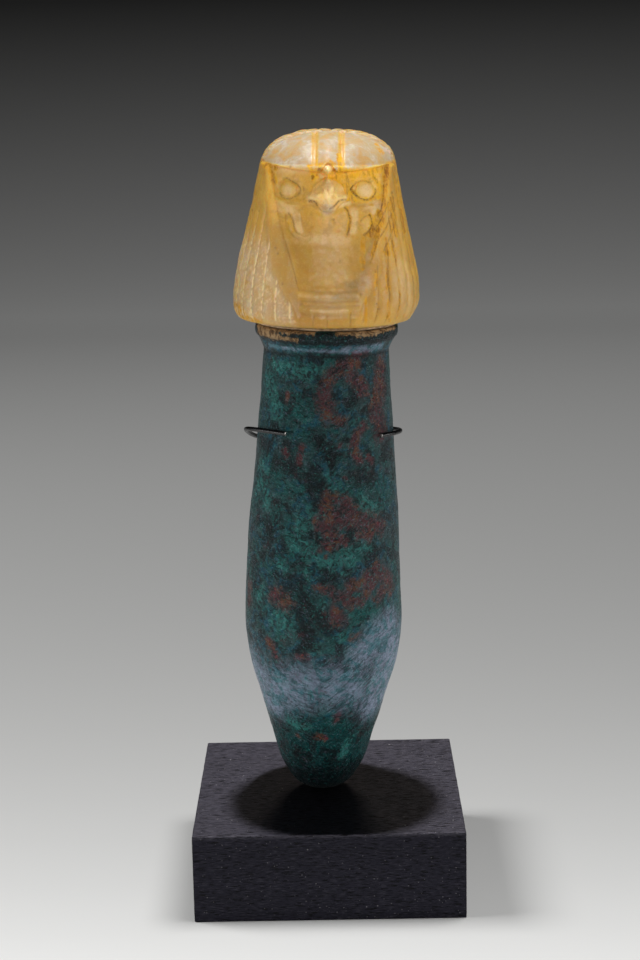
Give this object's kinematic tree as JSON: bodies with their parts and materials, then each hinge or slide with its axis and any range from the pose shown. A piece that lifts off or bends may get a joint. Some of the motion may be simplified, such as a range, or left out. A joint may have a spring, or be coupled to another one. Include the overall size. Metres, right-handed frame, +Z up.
{
  "type": "canopic jar",
  "caption": "Falcon-headed stone lid on a slender pointed bronze jar, held upright by a bent wire cradle on a square wooden block.",
  "frame": {"origin": "centre of the wooden block's underside, on the surface that it stands on", "axes": "+Z up through the lid, the falcon's face looks along -Y, +X is to the viewer's right when facing it"},
  "size_m": [0.1, 0.1, 0.2844],
  "materials": {
    "calcite": "polished honey-yellow translucent calcite with ochre stain in the carving",
    "plaster": "ragged beige bedding plaster",
    "bronze": "dark teal and blue-green patina with red-brown patches, half gloss",
    "painted_wire": "thin black paint, worn bright at the cut ends",
    "stained_wood": "black-stained open-grained wood, low sheen"
  },
  "bodies": {
    "root": {"falcon_lid": "calcite", "plaster_bedding": "plaster", "bronze_jar": "bronze", "wire_cradle": "painted_wire", "wooden_block": "stained_wood"}
  },
  "joints": []
}
